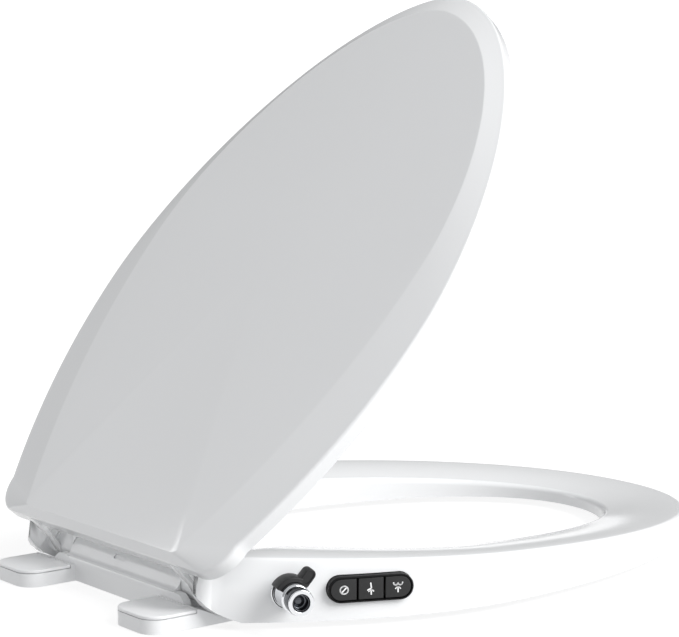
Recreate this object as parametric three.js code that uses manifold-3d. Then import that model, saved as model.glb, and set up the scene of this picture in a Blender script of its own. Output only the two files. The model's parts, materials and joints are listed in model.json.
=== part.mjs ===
// Bidet toilet seat with a hinged lid, side valve, three push buttons and a sliding nozzle.
// Millimetres, +Z up. The origin is on the bowl rim's plane, under the middle of the hinge line;
// -Y is the front of the seat and -X the side that carries the controls.
import * as THREE from 'three';
import { mergeVertices } from 'three/addons/utils/BufferGeometryUtils.js';
import Module from 'manifold-3d';

const wasm = await Module();
wasm.setup();

// ---------------------------------------------------------------- driving dimensions
const GAP = 0.3;             // clearance between pieces that touch
const RUN = 0.5;             // clearance round pieces that move

const HINGE_Z = 18;          // hinge line above the bowl
const PIN_R = 2.5;
const PIN_DEEP = 12;         // how far each pin reaches into the damper and past the notch wall
const PIN_OUT = 5.5;

const SEAT_HALF = 181.5;     // ring: half-width, and where it is widest
const SEAT_WIDE_Y = -172.5;
const SEAT_TIP_Y = -457;
const SEAT_REAR_Y = 24.5;
const SEAT_REAR_HALF = 98.5;
const SEAT_CORNER = 9;
const SEAT_ROUND = 2.1;      // exponent of the front curve
const SEAT_BASE_Z = 4.5;
const SEAT_REAR_Z = 45.2;    // height of the top at the rear and at the tip
const SEAT_TIP_Z = 16;
const SEAT_SLOPE = 1.2;      // how the fall is spread over the length
const SEAT_WALL = 3;
const EDGE_IN = 5;           // width and drop of the rounded outer edge
const EDGE_DROP = 4;
const DISH = 6;              // the top falls this much towards the opening

const HOLE_HALF = 124;
const HOLE_WIDE_Y = -170;
const HOLE_TIP_Y = -394;
const HOLE_REAR_Y = -38.5;
const HOLE_REAR_HALF = 66;
const HOLE_CORNER = 30;
const HOLE_ROUND = 2.1;
const COVER_T = 2.5;
const BUMPER_R = 8;
const BUMPER_STEM = 3;
const BUMPER_REAR_Y = -150;
const BUMPER_FRONT = [72, -405];

const NOTCH_Y = -12;         // wall in front of the hinge barrel
const NOTCH_HALF = 97.5;
const HUB_R = 9;
const HUB_IN = 89;           // inner end of the seat's hinge hub
const LOBE_R = 27.2;         // reach of the seat's rear corners round the hinge line

const LID_ANGLE = 49.3;      // lid above the horizontal, as it stands
const LID_PLANE = 42.7;      // outer face of the lid above the hinge line
const LID_REAR = 2.3;        // rear edge of the panel, measured along the lid from the hinge
const PANEL_HALF = 147.8;
const PANEL_WIDE = 234.5;
const PANEL_TIP = 439.6;
const PANEL_REAR_HALF = 88;
const PANEL_ROUND = 1.8;
const RIM_HALF = 175.6;
const RIM_WIDE = 195;
const RIM_TIP = 457;
const RIM_REAR = -3;
const RIM_REAR_HALF = 121;
const RIM_CORNER = 24;
const RIM_ROUND = 1.75;
const CHAMFER_DROP = 5.5;
const SKIRT = 8.9;
const CROWN = 4.2;
const LID_WALL = 3;

const ARM_IN = 80;           // lid hinge arm, from inside to outside
const ARM_OUT = 88;
const KNUCKLE_IN = 64.5;
const KNUCKLE_R = 9;
const LID_TILT = 3;          // the shut lid falls this much to the front
const LID_BUMPER_R = 6;
const LID_BUMPERS = [[-118, 320], [118, 320], [-60, 40], [60, 40]];

const BARREL_R = 9.5;        // hinge barrel of the base
const BARREL_HALF = 64;
const BRIDGE_REAR_Y = 15.5;
const BRIDGE_Z = 15.7;
const DAMPER_R = 6;
const DAMPER_LEN = 46;
const SHOULDER_X = 77.5;     // the bridge's lower part runs out over the feet to here
const FOOT_X = 73.7;
const FOOT_HALF = 22.5;
const FOOT_REAR_Y = 53.5;
const FOOT_END_HALF = 9.5;
const FOOT_Z = 11.4;
const CAP_T = 2.4;
const CAP_FRONT_Y = 19;
const SLOT_X = 70;           // bolt slots, on the usual 140 mm spacing
const SLOT_Y = 34;
const SLOT_R = 4.2;
const SLOT_LEN = 16;

const VALVE_Y = -21.5;       // valve's place along the ring, and how far it stands out of it
const VALVE_OUT = 0.86;
const VALVE_Z = 24.6;
const VALVE_SWING = 12.86;   // degrees the valve's axis turns back from the wall's normal
const VALVE_R = 9.2;
const VALVE_LEN = 22;
const TAIL_R = 6.5;
const TAIL_LEN = 17;
const COLLAR_R = 8.3;
const COLLAR_LEN = 10;
const NIPPLE_R = 5;
const FLANGE_T = 1.2;        // the valve's flange, thick and wide
const BORE_R = 3;            // water way through the valve
const NUT_R = 10.5;
const NUT_T = 4;
const LEVER_T = 2.8;
const LEVER_LEN = 11.5;      // the saddle along the valve's axis
const LEVER_TIP = 19;
const LEVER_W = 6.6;
const LEVER_ANGLE = 51;

const PILL_FRONT_Y = -93.5;  // ends of the button panel, each just outside the ring's outline
const PILL_FRONT_OUT = 0.25;
const PILL_REAR_Y = -43.5;
const PILL_REAR_OUT = 0.59;
const PILL_Z = 24;
const PILL_H = 16.5;
const PILL_PROUD = 2.9;
const BEZEL_T = 1.5;
const BEZEL_DEPTH = 9;
const BUTTON_GAP = 1.2;
const BUTTON_T = 4.1;
const STEM_R = 1.8;
const STEM_PITCH = 0.94;     // stems stand a little closer together than the buttons
const WIRE_R = 0.35;         // button springs
const COIL_PITCH = 1.15;
const COILS = 4;
const BLOCK = { length: 50, depth: 20, height: 18, back: 12 };

const NOZZLE_X = 5.5;        // each tube off the middle
const NOZZLE_R = 3.5;
const NOZZLE_Z = 16;
const CHAMBER = { half: 16, wall: 2, z0: 8.5, z1: 25 };

const HOSE_R = 2.6;

// ---------------------------------------------------------------- solids
const toSolid = (geometry) => {
  const bare = geometry.clone();
  for (const name of Object.keys(bare.attributes)) if (name !== 'position') bare.deleteAttribute(name);
  const g = mergeVertices(bare, 1e-4);
  return new wasm.Manifold(new wasm.Mesh({
    numProp: 3,
    vertProperties: new Float32Array(g.attributes.position.array),
    triVerts: new Uint32Array(g.index.array),
  }));
};
const toGeometry = (solid) => {
  const mesh = solid.getMesh();
  const g = new THREE.BufferGeometry();
  g.setAttribute('position', new THREE.BufferAttribute(new Float32Array(mesh.vertProperties), 3));
  g.setIndex(new THREE.BufferAttribute(new Uint32Array(mesh.triVerts), 1));
  g.computeVertexNormals();
  return g;
};
const moved = (geometry, x, y, z) => geometry.translate(x, y, z);
const box = (x0, x1, y0, y1, z0, z1) =>
  toSolid(moved(new THREE.BoxGeometry(x1 - x0, y1 - y0, z1 - z0),
    (x0 + x1) / 2, (y0 + y1) / 2, (z0 + z1) / 2));
const prism = (points, depth) =>
  new THREE.ExtrudeGeometry(new THREE.Shape(points.map(([a, b]) => new THREE.Vector2(a, b))),
    { depth, bevelEnabled: false });

// A prism along X from x0 to x1, its outline given in (y, z).
const alongX = (points, x0, x1) => {
  const g = prism(points, x1 - x0);
  g.applyMatrix4(new THREE.Matrix4().makeBasis(
    new THREE.Vector3(0, 1, 0), new THREE.Vector3(0, 0, 1), new THREE.Vector3(1, 0, 0)));
  return toSolid(moved(g, x0, 0, 0));
};
// An upright prism from z0 to z1, its outline given in (x, y).
const upright = (points, z0, z1) => toSolid(moved(prism(points, z1 - z0), 0, 0, z0));
// A prism along Y from y0 to y1, its outline given in (x, z).
const alongY = (points, y0, y1) => {
  const g = prism(points, y1 - y0);
  g.rotateX(Math.PI / 2);
  return toSolid(moved(g, 0, y1, 0));
};
const circle = (r, u = 0, v = 0, n = 24) => Array.from({ length: n }, (_, i) => {
  const a = 2 * Math.PI * i / n;
  return [u + r * Math.cos(a), v + r * Math.sin(a)];
});
const rodX = (r, x0, x1, y = 0, z = HINGE_Z, n = 24) => alongX(circle(r, y, z, n), x0, x1);
const mirrored = (solid) => solid.mirror([1, 0, 0]);
const both = (solid) => solid.add(mirrored(solid));

// Skin over rings that all have the same number of points; capped, or closed on itself.
const skin = (rings, closed = false) => {
  const n = rings[0].length;
  const index = [];
  const last = closed ? rings.length : rings.length - 1;
  for (let k = 0; k < last; k += 1) {
    const a = k * n;
    const b = ((k + 1) % rings.length) * n;
    for (let i = 0; i < n; i += 1) {
      const j = (i + 1) % n;
      index.push(a + i, a + j, b + j, a + i, b + j, b + i);
    }
  }
  if (!closed) {
    const flat = (ring) =>
      THREE.ShapeUtils.triangulateShape(ring.map(([x, y]) => new THREE.Vector2(x, y)), []);
    for (const [a, b, c] of flat(rings[0])) index.push(c, b, a);
    const top = (rings.length - 1) * n;
    for (const [a, b, c] of flat(rings[rings.length - 1])) index.push(top + a, top + b, top + c);
  }
  const g = new THREE.BufferGeometry();
  g.setAttribute('position', new THREE.Float32BufferAttribute(rings.flat(2), 3));
  g.setIndex(index);
  return toSolid(g);
};

// Plan outline, anticlockwise: square rear with round corners, sides that swell, an oval front.
const outline = ({ half, wide, tip, rear, rearHalf, corner, round }) => {
  const dir = Math.sign(tip - rear);
  const points = [];
  const sideFrom = rear + dir * corner;
  const swell = (y) => sideOf({ half, wide, rear, rearHalf }, y);
  const sideAt = swell(sideFrom);
  for (let i = 0; i < 3; i += 1) points.push([(sideAt - corner) * i / 3, rear]);
  for (let i = 0; i < 5; i += 1) {
    const a = (i / 5) * Math.PI / 2;
    points.push([sideAt - corner + corner * Math.sin(a), sideFrom - dir * corner * Math.cos(a)]);
  }
  for (let i = 0; i < 12; i += 1) {
    const y = sideFrom + (wide - sideFrom) * i / 12;
    points.push([swell(y), y]);
  }
  for (let i = 0; i <= 16; i += 1) {
    const u = Math.sin((i / 16) * Math.PI / 2);
    points.push([half * Math.max(1 - u ** round, 0) ** (1 / round), wide + (tip - wide) * u]);
  }
  const left = points.slice(1, -1).reverse().map(([x, y]) => [-x, y]);
  const ring = [...points, ...left];
  return dir < 0 ? ring.reverse() : ring;
};
const grown = (o, by) => {
  const dir = Math.sign(o.tip - o.rear);
  return { ...o, half: o.half + by, rearHalf: o.rearHalf + by, tip: o.tip + dir * by, rear: o.rear - dir * by,
    corner: Math.max(o.corner + by, 1) };
};
const level = (ring, z) => ring.map(([x, y]) => [x, y, z]);

// ---------------------------------------------------------------- seat ring
const SEAT = { half: SEAT_HALF, wide: SEAT_WIDE_Y, tip: SEAT_TIP_Y, rear: SEAT_REAR_Y,
  rearHalf: SEAT_REAR_HALF, corner: SEAT_CORNER, round: SEAT_ROUND };
const HOLE = { half: HOLE_HALF, wide: HOLE_WIDE_Y, tip: HOLE_TIP_Y, rear: HOLE_REAR_Y,
  rearHalf: HOLE_REAR_HALF, corner: HOLE_CORNER, round: HOLE_ROUND };
// Half-width of such an outline beside its rear part.
const sideOf = (o, y) => o.rearHalf + (o.half - o.rearHalf) * (1 - ((y - o.wide) / (o.rear - o.wide)) ** 2);
const midRing = (y) => (sideOf(SEAT, y) + sideOf(HOLE, y)) / 2;
const both2 = ([x, y]) => [[-x, y], [x, y]];
const seatTop = (y) => {
  const along = Math.min(Math.max((SEAT_REAR_Y - y) / (SEAT_REAR_Y - SEAT_TIP_Y), 0), 1);
  return SEAT_REAR_Z - (SEAT_REAR_Z - SEAT_TIP_Z) * along ** SEAT_SLOPE;
};
const dish = (y) => DISH * (seatTop(y) - SEAT_BASE_Z) / (SEAT_REAR_Z - SEAT_BASE_Z);
const edge = (y) => EDGE_DROP * (seatTop(y) - SEAT_BASE_Z) / (SEAT_REAR_Z - SEAT_BASE_Z);

// The ring between its outer outline and its opening, thinned all round by the given amount.
const ringSolid = (thin, floor) => {
  const out = grown(SEAT, -thin);
  const hole = grown(HOLE, thin);
  const at = (o, drop) => outline(o).map(([x, y]) => [x, y, seatTop(y) - drop(y) - thin]);
  return skin([
    level(outline(out), floor),
    at(out, edge),
    at(grown(out, -EDGE_IN), () => 0),
    at(hole, dish),
    level(outline(hole), floor),
  ], true);
};
const HUGE = 600;
const notch = (extra) => box(-NOTCH_HALF + extra, NOTCH_HALF - extra, NOTCH_Y + extra, HUGE, -HUGE, HUGE);
const rearSweep = (drop) => alongX(
  [[0, -HUGE], [0, SEAT_BASE_Z - drop], [18, 14 - drop], [22, 19 - drop], [30, 40], [HUGE, 40],
    [HUGE, -HUGE]],
  -HUGE, HUGE);
const lobeReach = () =>
  box(-HUGE, HUGE, 0, HUGE, -HUGE, HUGE).subtract(rodX(LOBE_R, -HUGE, HUGE, 0, HINGE_Z, 48));

// Frame along one wall of the seat: out from the wall, forward along it, and up.
const wallFrame = (at, turn) => {
  const a = turn * Math.PI / 180;
  const outward = new THREE.Vector3(Math.cos(a), Math.sin(a), 0);
  const up = new THREE.Vector3(0, 0, 1);
  const forward = new THREE.Vector3().crossVectors(up, outward);
  return new THREE.Matrix4().makeBasis(forward, up, outward).setPosition(...at);
};
// Degrees in plan of the outward normal of the ring's wall on the controls side.
const wallTurn = (y) => {
  const fall = 2 * (SEAT_HALF - SEAT_REAR_HALF) * (y - SEAT_WIDE_Y) / (SEAT_REAR_Y - SEAT_WIDE_Y) ** 2;
  return 180 - Math.atan(fall) * 180 / Math.PI;
};
const valveAt = [-sideOf(SEAT, VALVE_Y) - VALVE_OUT, VALVE_Y, VALVE_Z];
const VALVE = wallFrame(valveAt, wallTurn(VALVE_Y) + VALVE_SWING);
const PILL_FRONT = [-sideOf(SEAT, PILL_FRONT_Y) - PILL_FRONT_OUT, PILL_FRONT_Y];
const PILL_REAR = [-sideOf(SEAT, PILL_REAR_Y) - PILL_REAR_OUT, PILL_REAR_Y];
const pillMid = [0, 1].map((i) => (PILL_FRONT[i] + PILL_REAR[i]) / 2);
const PILL_LEN = Math.hypot(PILL_FRONT[0] - PILL_REAR[0], PILL_FRONT[1] - PILL_REAR[1]);
const pillAlong = Math.atan2(PILL_FRONT[1] - PILL_REAR[1], PILL_FRONT[0] - PILL_REAR[0]);
const PILL_TURN = pillAlong * 180 / Math.PI - 90;
const PILL = wallFrame([...pillMid, PILL_Z], PILL_TURN);
// A prism in such a frame, from depth d0 to d1 outward, its outline in (forward, up).
const inFrame = (frame, points, d0, d1) => {
  const g = prism(points, d1 - d0);
  return toSolid(moved(g, 0, 0, d0).applyMatrix4(frame));
};
const tubeIn = (frame, rOut, rIn, d0, d1, n = 28) => {
  const rod = inFrame(frame, circle(rOut, 0, 0, n), d0, d1);
  return rIn ? rod.subtract(inFrame(frame, circle(rIn, 0, 0, n), d0 - 1, d1 + 1)) : rod;
};
const pill = (length, height, n = 8) => {
  const r = height / 2;
  const points = [];
  for (const [side, from] of [[1, -90], [-1, 90]]) {
    for (let i = 0; i <= n; i += 1) {
      const a = (from + 180 * i / n) * Math.PI / 180;
      points.push([side * (length / 2 - r) + r * Math.cos(a), r * Math.sin(a)]);
    }
  }
  return points;
};

const bumperSpots = [...both2([midRing(BUMPER_REAR_Y), BUMPER_REAR_Y]), ...both2(BUMPER_FRONT)];

const seatShell = () => {
  const outer = ringSolid(0, SEAT_BASE_Z);
  let shell = outer.subtract(ringSolid(SEAT_WALL, -HUGE));
  const walls = box(-NOTCH_HALF - SEAT_WALL, NOTCH_HALF + SEAT_WALL, NOTCH_Y - SEAT_WALL, HUGE, 0, HUGE);
  shell = shell.add(outer.intersect(walls)).subtract(notch(0)).subtract(rearSweep(0));
  const hub = rodX(HUB_R, HUB_IN, NOTCH_HALF + 1).add(rodX(HUB_R, NOTCH_HALF, NOTCH_HALF + 12)
    .intersect(outer));
  shell = shell.add(both(hub)).subtract(both(rodX(PIN_R + GAP, HUB_IN - 1, NOTCH_HALF + 6)));
  const tubes = tubeHoles();
  return shell.subtract(tubes).subtract(lobeReach())
    .subtract(tubeIn(VALVE, TAIL_R + GAP, 0, -30, 10))
    .subtract(inFrame(PILL, pill(PILL_LEN + 2 * GAP, PILL_H + 2 * GAP), -12, 10));
};
const seatCover = () => {
  let plate = ringSolid(SEAT_WALL + GAP, SEAT_BASE_Z)
    .intersect(box(-HUGE, HUGE, -HUGE, HUGE, SEAT_BASE_Z, SEAT_BASE_Z + COVER_T));
  plate = plate.subtract(box(-NOTCH_HALF - SEAT_WALL - GAP, NOTCH_HALF + SEAT_WALL + GAP,
    NOTCH_Y - SEAT_WALL - GAP, HUGE, -HUGE, HUGE)).subtract(box(-HUGE, HUGE, -2, HUGE, -HUGE, HUGE));
  for (const [x, y] of bumperSpots) {
    plate = plate.subtract(upright(circle(BUMPER_STEM + GAP, x, y), -1, HUGE));
  }
  return plate;
};
const seatBumper = ([x, y]) => upright(circle(BUMPER_R, x, y), 0, SEAT_BASE_Z - GAP)
  .add(upright(circle(BUMPER_STEM, x, y, 16), 1, SEAT_BASE_Z + COVER_T + 1));

// ---------------------------------------------------------------- lid
const lidFrame = (() => {
  const a = LID_ANGLE * Math.PI / 180;
  return new THREE.Matrix4().makeBasis(
    new THREE.Vector3(-1, 0, 0),
    new THREE.Vector3(0, -Math.cos(a), Math.sin(a)),
    new THREE.Vector3(0, Math.sin(a), Math.cos(a))).setPosition(0, 0, HINGE_Z);
})();
const placed = (solid, frame) => solid.transform(frame.elements.slice());
const PANEL = { half: PANEL_HALF, wide: PANEL_WIDE, tip: PANEL_TIP, rear: LID_REAR,
  rearHalf: PANEL_REAR_HALF, corner: 6, round: PANEL_ROUND };
const RIM = { half: RIM_HALF, wide: RIM_WIDE, tip: RIM_TIP, rear: RIM_REAR,
  rearHalf: RIM_REAR_HALF, corner: RIM_CORNER, round: RIM_ROUND };
const RIM_Z = LID_PLANE - CHAMFER_DROP - SKIRT;
const middle = (o, share) => {
  const centre = (o.rear + o.tip) / 2;
  return outline(o).map(([x, y]) => [x * share, centre + (y - centre) * share]);
};
const lidSolid = (thin, floor) => {
  const rim = grown(RIM, -thin);
  const panel = grown(PANEL, -thin);
  return skin([
    level(outline(rim), floor),
    level(outline(rim), LID_PLANE - CHAMFER_DROP - thin),
    level(outline(panel), LID_PLANE - thin),
    level(middle(panel, 0.72), LID_PLANE + CROWN * 0.6 - thin),
    level(middle(panel, 0.36), LID_PLANE + CROWN - thin),
  ]);
};
// The arm's outline in the upright (y, z) plane, as the lid stands.
const armOutline = [[3.5, 11.5], [9, 14], [15, 23.8], [22.5, 31], [28.5, 38], [21.5, 40], [18.5, 31.5]];
const finOutline = [[6, 20], [9, 18], [8.6, 34], [10.5, 39], [9.5, 39], [6, 34]];
const lidShell = () => {
  const cap = placed(lidSolid(0, RIM_Z).subtract(lidSolid(LID_WALL, -HUGE)), lidFrame);
  const arm = alongX(armOutline, ARM_IN, ARM_OUT).add(rodX(KNUCKLE_R, KNUCKLE_IN, ARM_OUT));
  const inside = placed(lidSolid(0.5, -HUGE), lidFrame);
  const web = alongX([[18.5, 31.5], [21.5, 27.5], [33, 36], [33, 48], [26, 48]], ARM_IN, ARM_OUT)
    .intersect(inside);
  const fin = alongX(finOutline, KNUCKLE_IN, ARM_IN + 1);
  return cap.add(both(arm.add(web).add(fin))).subtract(both(rodX(PIN_R + GAP, KNUCKLE_IN - 1, ARM_OUT + 1)));
};
const lidBumper = ([x, along]) => {
  const closed = (LID_ANGLE + LID_TILT) * Math.PI / 180;
  const y = -along;
  const touch = (seatTop(y) - HINGE_Z + along * Math.sin(LID_TILT * Math.PI / 180)) /
    Math.cos(closed - LID_ANGLE * Math.PI / 180);
  const top = LID_PLANE - LID_WALL - GAP;
  return placed(upright(circle(LID_BUMPER_R, -x, along, 20), touch + 4 * GAP, top), lidFrame);
};

// ---------------------------------------------------------------- base on the bowl
const footOutline = (inset, front) => {
  const half = FOOT_HALF - inset;
  const rear = FOOT_REAR_Y - inset;
  const r = half - FOOT_END_HALF + inset * 0.4;
  const points = [[-half, front], [half, front]];
  for (const [side, from] of [[1, 0], [-1, 90]]) {
    for (let i = 0; i <= 6; i += 1) {
      const a = (from + 15 * i) * Math.PI / 180;
      points.push([side * (half - r) + r * Math.cos(a), rear - r + r * Math.sin(a)]);
    }
  }
  return points.map(([x, y]) => [x + FOOT_X, y]);
};
const baseHousing = () => {
  const barrel = [];
  for (let i = 0; i <= 12; i += 1) {
    const a = (25 + (180 - 25) * i / 12) * Math.PI / 180;
    barrel.push([BARREL_R * Math.cos(a), HINGE_Z + BARREL_R * Math.sin(a)]);
  }
  const section = [[-BARREL_R, 0], [BRIDGE_REAR_Y, 0], [BRIDGE_REAR_Y, BRIDGE_Z], [13, BRIDGE_Z + 1],
    [10.6, BRIDGE_Z + 3.2], ...barrel];
  const bridge = alongX(section, -BARREL_HALF, BARREL_HALF);
  const slope = alongX([[-8, 0], [FOOT_REAR_Y + 1, 0], [FOOT_REAR_Y + 1, FOOT_Z - CAP_T],
    [CAP_FRONT_Y, FOOT_Z - CAP_T], [CAP_FRONT_Y - GAP, FOOT_Z - CAP_T], [CAP_FRONT_Y - GAP, FOOT_Z],
    [17, FOOT_Z], [-2, 3.2], [-8, 3.2]], 0, HUGE);
  const foot = upright(footOutline(0, -8), 0, FOOT_Z).intersect(slope);
  const slotPlan = pill(SLOT_LEN, 2 * SLOT_R).map(([a, b]) => [SLOT_X + b, SLOT_Y + a]).reverse();
  const slot = upright(slotPlan, -1, FOOT_Z + 1);
  const shoulder = alongY([[BARREL_HALF - 1, 0], [SHOULDER_X, 0], [SHOULDER_X, FOOT_Z],
    [SHOULDER_X - 5.5, BRIDGE_Z], [BARREL_HALF - 1, BRIDGE_Z]], KNUCKLE_R + 4 * GAP, BRIDGE_REAR_Y);
  const bore = rodX(DAMPER_R + GAP, BARREL_HALF - DAMPER_LEN - GAP, BARREL_HALF + 1);
  const recess = box(-8, 8, 4, 20, 22.5, 25.2).subtract(rodX(BARREL_R - 1, -9, 9));
  return bridge.add(both(foot.add(shoulder).subtract(slot))).subtract(both(bore)).subtract(recess);
};
const footCap = () => upright(footOutline(0, CAP_FRONT_Y), FOOT_Z - CAP_T + GAP, FOOT_Z);
const damper = () => rodX(DAMPER_R, BARREL_HALF - DAMPER_LEN, BARREL_HALF)
  .subtract(rodX(PIN_R + GAP, BARREL_HALF - PIN_DEEP, BARREL_HALF + 1));
const hingePin = () => rodX(PIN_R, BARREL_HALF - PIN_DEEP + GAP, NOTCH_HALF + PIN_OUT);

// ---------------------------------------------------------------- inlet valve and lever
const FLANGE_AT = 2.2;
const valveBody = () => tubeIn(VALVE, VALVE_R, 0, FLANGE_AT, VALVE_LEN)
  .add(tubeIn(VALVE, VALVE_R + FLANGE_T, 0, FLANGE_AT, FLANGE_AT + FLANGE_T))
  .add(tubeIn(VALVE, TAIL_R, 0, -TAIL_LEN, 4))
  .subtract(tubeIn(VALVE, BORE_R, 0, -TAIL_LEN - 1, VALVE_LEN + 1));
const valveNut = () => inFrame(VALVE, circle(NUT_R, 0, 0, 6), -TAIL_LEN + 1, -TAIL_LEN + 1 + NUT_T)
  .subtract(tubeIn(VALVE, TAIL_R + GAP, 0, -TAIL_LEN, 0));
const valveCollar = () =>
  tubeIn(VALVE, COLLAR_R, NIPPLE_R + GAP, VALVE_LEN + GAP, VALVE_LEN + COLLAR_LEN);
const valveNipple = () =>
  tubeIn(VALVE, NIPPLE_R, BORE_R, VALVE_LEN + GAP, VALVE_LEN + COLLAR_LEN - GAP);
const arc = (r0, r1, from, to, n = 14) => {
  const at = (r, k) => {
    const a = (from + (to - from) * k / n) * Math.PI / 180;
    return [r * Math.cos(a), r * Math.sin(a)];
  };
  const steps = Array.from({ length: n + 1 }, (_, k) => k);
  return [...steps.map((k) => at(r1, k)), ...steps.reverse().map((k) => at(r0, k))];
};
const lever = () => {
  const r0 = VALVE_R + GAP;
  const from = FLANGE_AT + FLANGE_T + GAP;
  const to = from + 2 + LEVER_LEN;
  const hoop = tubeIn(VALVE, r0 + 1.1, r0, from, from + 2);
  const saddle = inFrame(VALVE, arc(r0, r0 + LEVER_T, 38, 152), from + 1, to);
  const a = LEVER_ANGLE * Math.PI / 180;
  const reach = LEVER_TIP - r0;
  const tip = pill(reach + LEVER_W, LEVER_W).map(([u, v]) => {
    const s = u + LEVER_TIP - (reach + LEVER_W) / 2;
    return [s * Math.cos(a) - v * Math.sin(a), s * Math.sin(a) + v * Math.cos(a)];
  });
  const thumb = inFrame(VALVE, tip, from + 4, to - 0.5).subtract(tubeIn(VALVE, r0, 0, 0, VALVE_LEN));
  return hoop.add(saddle).add(thumb);
};

// ---------------------------------------------------------------- button panel
const bezel = () => inFrame(PILL, pill(PILL_LEN, PILL_H), PILL_PROUD - BEZEL_DEPTH, PILL_PROUD)
  .subtract(inFrame(PILL, pill(PILL_LEN - 2 * BEZEL_T, PILL_H - 2 * BEZEL_T), -HUGE, HUGE));
const innerPill = pill(PILL_LEN - 2 * BEZEL_T - 2 * RUN, PILL_H - 2 * BEZEL_T - 2 * RUN);
const third = (PILL_LEN - 2 * BEZEL_T - 2 * RUN) / 3;
const button = (place) => {
  const mid = place * third;
  const halfLane = (third - BUTTON_GAP) / 2;
  const lane = [[mid - halfLane, -PILL_H], [mid + halfLane, -PILL_H], [mid + halfLane, PILL_H],
    [mid - halfLane, PILL_H]];
  const face = inFrame(PILL, innerPill, PILL_PROUD - GAP - BUTTON_T, PILL_PROUD - GAP)
    .intersect(inFrame(PILL, lane, -HUGE, HUGE));
  const stem = inFrame(PILL, circle(STEM_R, mid * STEM_PITCH, 0, 16), -BLOCK.back - 5, PILL_PROUD - 4);
  return face.add(stem);
};
const valveBlock = () => {
  const { length, depth, height, back } = BLOCK;
  const body = inFrame(PILL, [[-length / 2, -height / 2], [length / 2, -height / 2], [length / 2, height / 2],
    [-length / 2, height / 2]], -back - depth, -back);
  const bores = [-1, 0, 1].map((k) =>
    inFrame(PILL, circle(STEM_R + GAP, k * third * STEM_PITCH, 0, 16), -back - 8, -back + 1));
  return bores.reduce((solid, bore) => solid.subtract(bore), body);
};
class Helix extends THREE.Curve {
  constructor(r, pitch, turns) {
    super();
    Object.assign(this, { r, pitch, turns });
  }

  getPoint(t, target = new THREE.Vector3()) {
    const a = 2 * Math.PI * this.turns * t;
    return target.set(this.r * Math.cos(a), this.r * Math.sin(a), this.pitch * this.turns * t);
  }
}
const spring = (place) => {
  const wire = new THREE.Shape(circle(WIRE_R, 0, 0, 6).map(([a, b]) => new THREE.Vector2(a, b)));
  const path = new Helix(STEM_R + 4 * GAP, COIL_PITCH, COILS);
  const g = new THREE.ExtrudeGeometry(wire, { steps: 12 * COILS, bevelEnabled: false, extrudePath: path });
  g.translate(place * third * STEM_PITCH, 0, -BLOCK.back + 0.7);
  return toSolid(g.applyMatrix4(PILL));
};

// ---------------------------------------------------------------- nozzle
const CHAMBER_REAR = NOTCH_Y - SEAT_WALL - GAP;
const CHAMBER_FRONT = HOLE_REAR_Y + SEAT_WALL + GAP;
const chamberIn = { rear: CHAMBER_REAR - CHAMBER.wall, front: CHAMBER_FRONT + CHAMBER.wall };
const rodY = (r, x, y0, y1, z) => alongY(circle(r, x, z, 20), y0, y1);
const tubeHoles = () => both(rodY(NOZZLE_R + RUN, NOZZLE_X, HOLE_REAR_Y - 5, CHAMBER_FRONT + 1, NOZZLE_Z));
const nozzleChamber = () => {
  const { half, wall, z0, z1 } = CHAMBER;
  const shell = box(-half, half, CHAMBER_FRONT, CHAMBER_REAR, z0, z1)
    .subtract(box(-half + wall, half - wall, chamberIn.front, chamberIn.rear, z0 - 1, z1 - wall));
  return shell.subtract(both(rodY(NOZZLE_R + RUN, NOZZLE_X, CHAMBER_FRONT - 1, CHAMBER_FRONT + 5, NOZZLE_Z)));
};
const nozzleSlider = () => {
  const plateRear = chamberIn.rear - RUN;
  const plate = box(-NOZZLE_X - 6, NOZZLE_X + 6, plateRear - 2, plateRear, NOZZLE_Z - 5.5, NOZZLE_Z + 5.5);
  const tube = rodY(NOZZLE_R, NOZZLE_X, HOLE_REAR_Y + 0.8, plateRear - 1, NOZZLE_Z);
  return plate.add(both(tube));
};

// ---------------------------------------------------------------- hoses inside the ring
const hose = (points) => {
  const path = new THREE.CatmullRomCurve3(points.map((p) => new THREE.Vector3(...p)), false, 'centripetal');
  return toSolid(new THREE.ExtrudeGeometry(
    new THREE.Shape(circle(HOSE_R, 0, 0, 8).map(([a, b]) => new THREE.Vector2(a, b))),
    { steps: 26, bevelEnabled: false, extrudePath: path }));
};
const inFramePoint = (frame, u, v, d) => new THREE.Vector3(u, v, d).applyMatrix4(frame).toArray();
const inletHose = () => hose([
  inFramePoint(VALVE, 0, 0, -TAIL_LEN - 2 * GAP), inFramePoint(VALVE, 0, 0, -TAIL_LEN - 6),
  inFramePoint(VALVE, 8, 0, -TAIL_LEN - 12),
  inFramePoint(PILL, -BLOCK.length / 2 - 7, 0, -BLOCK.back - 8),
  inFramePoint(PILL, -BLOCK.length / 2 - 2 * GAP, 0, -BLOCK.back - 8)]);
const washHose = (v) => {
  const z = NOZZLE_Z + v;
  const [x1, y1, z1] = inFramePoint(PILL, 0, v, -BLOCK.back - BLOCK.depth - 2 * GAP);
  const [x2, y2] = inFramePoint(PILL, 0, v, -BLOCK.back - BLOCK.depth - 7);
  const chamberSide = (CHAMBER_REAR + CHAMBER_FRONT) / 2;
  return hose([[x1, y1, z1], [x2, y2, z1], [-98, -46, z], [-82, -29, z], [-50, chamberSide, z],
    [-CHAMBER.half - 6, chamberSide, z], [-CHAMBER.half - 2 * GAP, chamberSide, z]]);
};

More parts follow.
